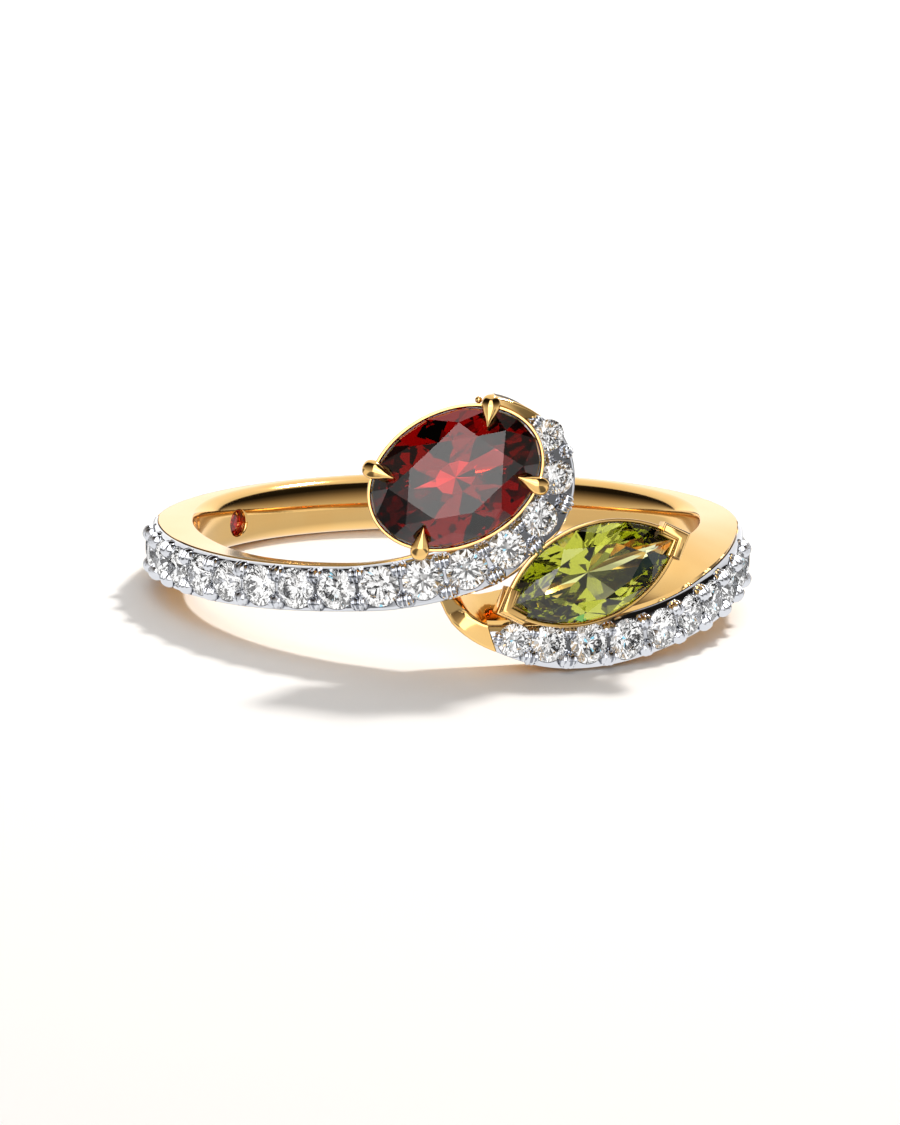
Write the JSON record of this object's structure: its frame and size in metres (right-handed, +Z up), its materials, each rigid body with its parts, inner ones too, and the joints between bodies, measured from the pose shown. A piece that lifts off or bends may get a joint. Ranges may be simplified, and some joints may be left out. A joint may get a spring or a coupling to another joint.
{
  "type": "finger ring",
  "caption": "Bypass finger ring in two metals: one arm curls round an oval red stone, the other ends under a marquise green stone, both set with diamonds.",
  "frame": {"origin": "centre of the bounding box on the surface that the ring lies on", "axes": "+Z up, with the ring lying on its side; -Y towards the two large stones; the finger axis leans 4.6 degrees from +Z"},
  "size_m": [0.0206, 0.0212, 0.0094],
  "materials": {
    "yellow_gold": "polished yellow gold",
    "white_gold": "polished white gold",
    "red_stone": "faceted deep red gemstone",
    "green_stone": "faceted yellow-green gemstone",
    "small_red_stone": "small faceted red gemstone",
    "diamond": "faceted colourless diamond"
  },
  "bodies": {
    "root": {"gold_band": "yellow_gold", "left_pave_bed": "white_gold", "right_pave_bed": "white_gold", "oval_stone": "red_stone", "marquise_stone": "green_stone", "inside_stone": "small_red_stone", "left_diamond_01": "diamond", "left_diamond_02": "diamond", "left_diamond_03": "diamond", "left_diamond_04": "diamond", "left_diamond_05": "diamond", "left_diamond_06": "diamond", "left_diamond_07": "diamond", "left_diamond_08": "diamond", "left_diamond_09": "diamond", "left_diamond_10": "diamond", "left_diamond_11": "diamond", "left_diamond_12": "diamond", "left_diamond_13": "diamond", "left_diamond_14": "diamond", "left_diamond_15": "diamond", "left_diamond_16": "diamond", "right_diamond_01": "diamond", "right_diamond_02": "diamond", "right_diamond_03": "diamond", "right_diamond_04": "diamond", "right_diamond_05": "diamond", "right_diamond_06": "diamond", "right_diamond_07": "diamond", "right_diamond_08": "diamond", "right_diamond_09": "diamond", "right_diamond_10": "diamond"}
  },
  "joints": []
}
